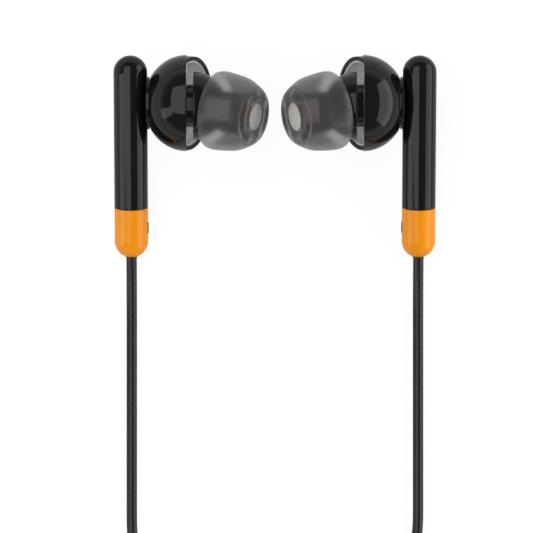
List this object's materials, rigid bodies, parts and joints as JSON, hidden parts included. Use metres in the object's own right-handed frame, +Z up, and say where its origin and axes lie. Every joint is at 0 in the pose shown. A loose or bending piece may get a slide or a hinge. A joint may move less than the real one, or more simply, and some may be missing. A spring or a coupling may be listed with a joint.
{
  "type": "wired earphones",
  "caption": "Pair of wired in-ear earphones: ball housings on slim stems, angled nozzles with silicone tips, leads joined by a splitter, and a folded, tied cord with a straight audio plug.",
  "frame": {"origin": "on the table, centred under the two earpieces, whose cords aren't counted", "axes": "+X from the left earpiece to the right one, +Y up the stems (away from the cords), +Z up from the table"},
  "size_m": [0.0516, 0.1576, 0.0188],
  "materials": {
    "gloss_black": "gloss",
    "orange": "gloss",
    "bright_trim": "satin",
    "silicone": "satin",
    "cord_black": "satin",
    "dark_plastic": "satin",
    "steel": "satin",
    "magnet_plating": "gloss",
    "copper": "gloss",
    "foam": "matte",
    "film": "gloss",
    "board": "satin",
    "plug_metal": "gloss",
    "tie_plastic": "satin"
  },
  "bodies": {
    "set": {"leads_hank": "cord_black", "left_cord_grommet": "cord_black", "left_cord_stop": "steel", "left_driver_frame": "dark_plastic", "left_driver_pod": "gloss_black", "left_hood": "gloss_black", "left_hookup_wires": "copper", "left_inner_lead": "cord_black", "left_lead": "cord_black", "left_liner": "bright_trim", "left_magnet": "magnet_plating", "left_magnet_pot": "steel", "left_neck_collar": "gloss_black", "left_nozzle_foam": "foam", "left_nozzle_mesh": "steel", "left_nozzle_ring": "orange", "left_pole_plate": "steel", "left_rear_housing": "gloss_black", "left_side_mark": "dark_plastic", "left_stem_cap": "orange", "left_stem_shell": "gloss_black", "left_terminal_board": "board", "main_cord": "cord_black", "main_hank": "cord_black", "plug_grip": "dark_plastic", "plug_insulators": "dark_plastic", "plug_ring": "plug_metal", "plug_sleeve": "plug_metal", "plug_tip": "plug_metal", "right_cord_grommet": "cord_black", "right_cord_stop": "steel", "right_driver_frame": "dark_plastic", "right_driver_pod": "gloss_black", "right_hood": "gloss_black", "right_hookup_wires": "copper", "right_inner_lead": "cord_black", "right_lead": "cord_black", "right_liner": "bright_trim", "right_magnet": "magnet_plating", "right_magnet_pot": "steel", "right_neck_collar": "gloss_black", "right_nozzle_foam": "foam", "right_nozzle_mesh": "steel", "right_nozzle_ring": "orange", "right_pole_plate": "steel", "right_rear_housing": "gloss_black", "right_side_mark": "dark_plastic", "right_stem_cap": "orange", "right_stem_shell": "gloss_black", "right_terminal_board": "board", "splitter": "gloss_black", "tie": "tie_plastic"},
    "left_tip": {"left_ear_tip": "silicone"},
    "left_cone": {"left_voice_coil": "copper", "left_diaphragm": "film"},
    "right_tip": {"right_ear_tip": "silicone"},
    "right_cone": {"right_voice_coil": "copper", "right_diaphragm": "film"}
  },
  "joints": [
    {"name": "left_tip_turn", "type": "hinge", "parent": "set", "child": "left_tip", "pos_m": [-0.01302, 0.00802, 0.00989], "axis": [0.8914, -0.1753, 0.418], "continuous": true},
    {"name": "left_cone_travel", "type": "slide", "parent": "set", "child": "left_cone", "axis": [1, 0, 0], "range_m": [-0.0002, 0.0002], "stiffness_N_per_m": 100},
    {"name": "right_tip_turn", "type": "hinge", "parent": "set", "child": "right_tip", "pos_m": [0.01302, 0.00802, 0.00989], "axis": [-0.8914, -0.1753, 0.418], "continuous": true},
    {"name": "right_cone_travel", "type": "slide", "parent": "set", "child": "right_cone", "axis": [-1, 0, 0], "range_m": [-0.0002, 0.0002], "stiffness_N_per_m": 100}
  ]
}
